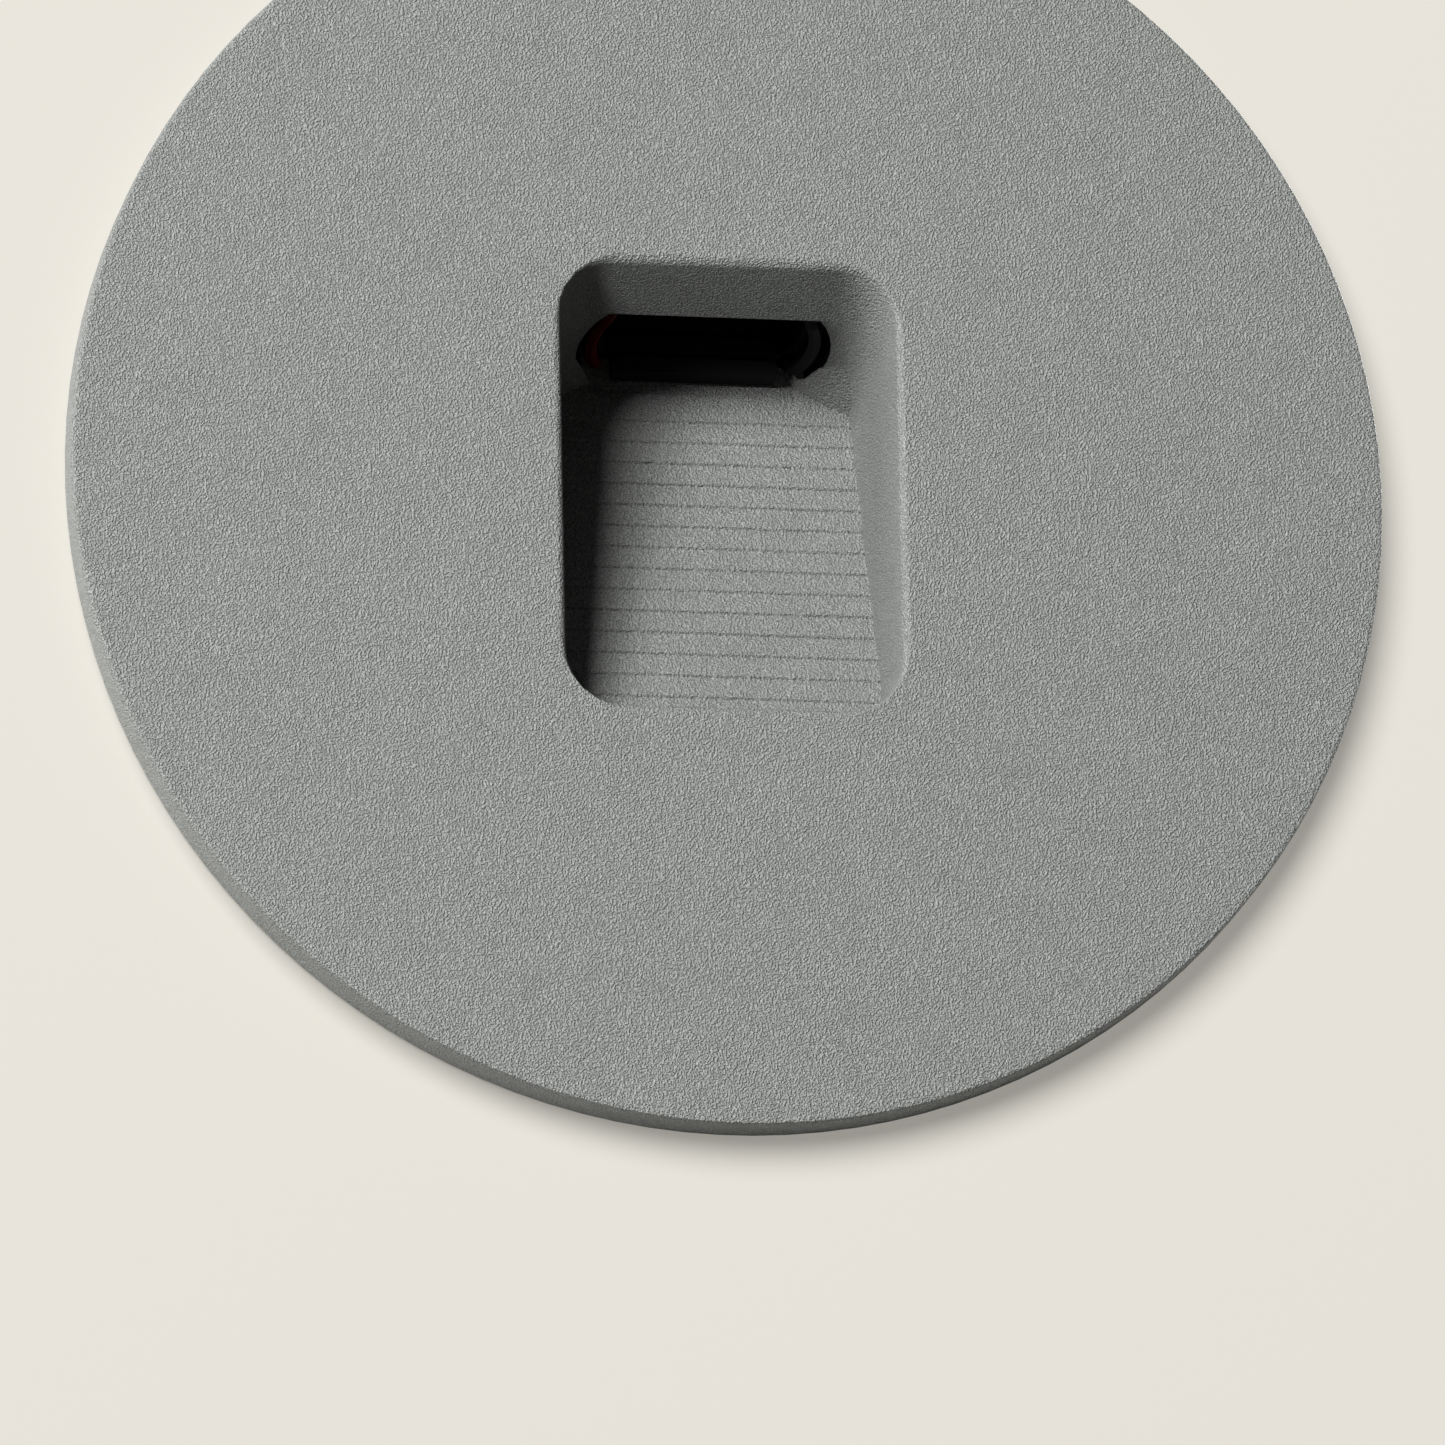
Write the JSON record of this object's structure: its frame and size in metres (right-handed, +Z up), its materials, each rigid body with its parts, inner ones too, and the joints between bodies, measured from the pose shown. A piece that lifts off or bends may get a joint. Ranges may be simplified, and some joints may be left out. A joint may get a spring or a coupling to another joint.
{
  "type": "recessed wall light",
  "caption": "Round recessed wall light: grey plate with a rounded rectangular light recess and ribbed slope, finned housing, cable gland and two sprung wall clips.",
  "frame": {"origin": "centre of the plate's rear face, in the plane of the wall's surface, on the axis of the round wall opening", "axes": "-Y out of the wall into the room, +Y into the wall, +Z up, and +X to the right when seen from the room"},
  "size_m": [0.1, 0.0685, 0.1],
  "materials": {
    "powder_coat": "fine-texture matt powder coat, mid grey",
    "cast_aluminium": "as die-cast, satin",
    "black_plastic": "moulded, fine spark texture",
    "clear_lens": "clear, polished",
    "black_rubber": "moulded, matt",
    "grey_foam": "closed-cell foam",
    "white_board": "white solder resist on aluminium core",
    "green_board": "green solder resist",
    "yellow_phosphor": "phosphor-filled silicone",
    "grey_pad": "soft thermal pad",
    "red_sheath": "satin cable sheath",
    "black_sheath": "satin cable sheath",
    "ferrite": "sintered, matt",
    "winding_tape": "polyester tape",
    "copper_wire": "enamelled copper",
    "capacitor_sleeve": "shrink sleeve",
    "terminal_plastic": "moulded",
    "orange_plastic": "moulded",
    "zinc_steel": "bright zinc plate",
    "spring_steel": "drawn stainless spring wire",
    "gland_plastic": "moulded nylon"
  },
  "bodies": {
    "light": {"front_plate": "powder_coat", "wall_gasket": "grey_foam", "housing_seal": "black_rubber", "housing": "cast_aluminium", "glare_baffle": "black_plastic", "lens_gasket": "black_rubber", "lens": "clear_lens", "led_board": "white_board", "led_chip_1": "yellow_phosphor", "led_chip_2": "yellow_phosphor", "led_chip_3": "yellow_phosphor", "thermal_pad": "grey_pad", "engine_cap": "cast_aluminium", "red_lead": "red_sheath", "black_lead": "black_sheath", "driver_board": "green_board", "transformer_core": "ferrite", "transformer_winding": "winding_tape", "capacitor": "capacitor_sleeve", "choke": "copper_wire", "terminal_block": "terminal_plastic", "rear_seal": "black_rubber", "rear_cover": "cast_aluminium", "gland_body": "gland_plastic", "gland_locknut": "zinc_steel", "gland_seal": "black_rubber", "gland_nut": "gland_plastic", "plate_screw_1": "zinc_steel", "cover_screw_1": "zinc_steel", "plate_screw_2": "zinc_steel", "cover_screw_2": "zinc_steel", "plate_screw_3": "zinc_steel", "cover_screw_3": "zinc_steel", "plate_screw_4": "zinc_steel", "cover_screw_4": "zinc_steel", "engine_screw_1": "zinc_steel", "engine_screw_2": "zinc_steel", "board_screw_1": "zinc_steel", "board_screw_2": "zinc_steel", "board_screw_3": "zinc_steel", "left_clip_bracket": "zinc_steel", "left_clip_pin": "zinc_steel", "left_clip_rivet_front": "zinc_steel", "left_clip_rivet_rear": "zinc_steel", "right_clip_bracket": "zinc_steel", "right_clip_pin": "zinc_steel", "right_clip_rivet_front": "zinc_steel", "right_clip_rivet_rear": "zinc_steel"},
    "left_clip_arm": {"left_clip_spring": "spring_steel", "left_clip_sleeve": "black_rubber"},
    "right_clip_arm": {"right_clip_spring": "spring_steel", "right_clip_sleeve": "black_rubber"},
    "lever_line_arm": {"terminal_lever_line": "orange_plastic"},
    "lever_neutral_arm": {"terminal_lever_neutral": "orange_plastic"},
    "lever_earth_arm": {"terminal_lever_earth": "orange_plastic"}
  },
  "joints": [
    {"name": "left_clip", "type": "hinge", "parent": "light", "child": "left_clip_arm", "pos_m": [-0.0348, 0.026, 0], "axis": [0, 0, -1], "range_deg": [0, 129], "stiffness_Nm_per_rad": 0.18, "springref_deg": -17.19},
    {"name": "right_clip", "type": "hinge", "parent": "light", "child": "right_clip_arm", "pos_m": [0.0348, 0.026, 0], "axis": [0, 0, 1], "range_deg": [0, 129], "stiffness_Nm_per_rad": 0.18, "springref_deg": -17.19},
    {"name": "lever_line", "type": "hinge", "parent": "light", "child": "lever_line_arm", "pos_m": [-0.00567, 0.03695, -0.01625], "axis": [-1, 0, 0], "range_deg": [0, 80]},
    {"name": "lever_neutral", "type": "hinge", "parent": "light", "child": "lever_neutral_arm", "pos_m": [0, 0.03695, -0.01625], "axis": [-1, 0, 0], "range_deg": [0, 80]},
    {"name": "lever_earth", "type": "hinge", "parent": "light", "child": "lever_earth_arm", "pos_m": [0.00567, 0.03695, -0.01625], "axis": [-1, 0, 0], "range_deg": [0, 80]}
  ]
}
